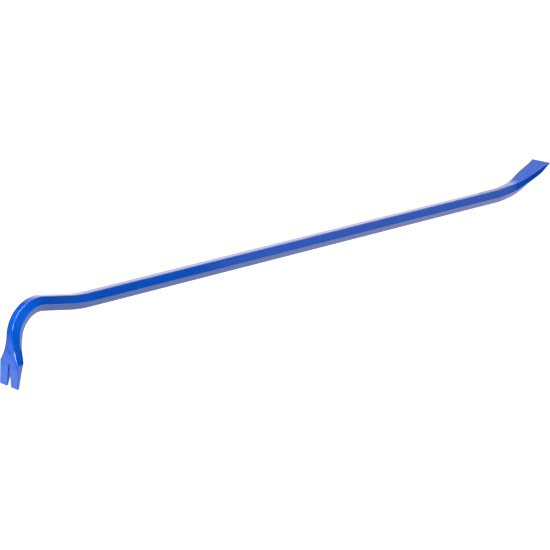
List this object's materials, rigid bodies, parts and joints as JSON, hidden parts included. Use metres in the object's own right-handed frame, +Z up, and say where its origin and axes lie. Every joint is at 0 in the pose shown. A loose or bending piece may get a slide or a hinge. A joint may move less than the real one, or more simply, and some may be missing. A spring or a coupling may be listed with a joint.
{
  "type": "pry bar",
  "caption": "Gooseneck pry bar forged from hexagonal steel bar, with a slotted nail claw on the hook and a flared chisel at the far end, enamelled blue.",
  "frame": {"origin": "on the floor, under the middle of the bar's bounding box, with the bar standing on the claw's two tips and the chisel's heel", "axes": "+X along the bar from the claw end to the chisel end, +Z up, +Y across the bar; the XZ plane is the bar's plane of symmetry"},
  "size_m": [1.0068, 0.0382, 0.102],
  "materials": {
    "enamel": "glossy blue enamel"
  },
  "bodies": {
    "root": {"forged_bar": "enamel"}
  },
  "joints": []
}
